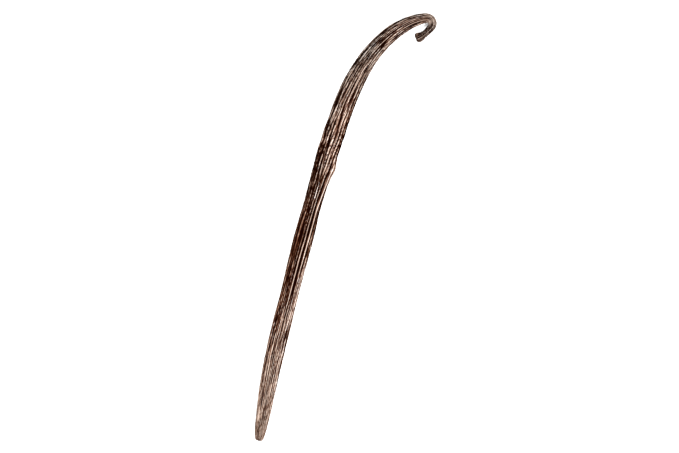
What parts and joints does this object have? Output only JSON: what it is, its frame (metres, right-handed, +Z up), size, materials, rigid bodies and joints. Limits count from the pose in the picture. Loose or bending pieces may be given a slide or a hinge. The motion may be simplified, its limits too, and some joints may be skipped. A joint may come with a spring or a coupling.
{
  "type": "vanilla pod",
  "caption": "Cured vanilla pod lying on its side: long furrowed body with a bent knee, arching and thinning to a tight hooked stalk end with a flared knob.",
  "frame": {"origin": "bottom centre of the bounding box, on the plane that the pod lies on", "axes": "+Y along the straight body towards the stalk end, +X the side that the arch and the hook turn to, +Z up through the thin side"},
  "size_m": [0.0284, 0.1566, 0.006],
  "materials": {
    "pod_skin": "oily dark brown cured skin with fine lengthwise wrinkles, semi-gloss"
  },
  "bodies": {
    "root": {"vanilla_pod": "pod_skin"}
  },
  "joints": []
}
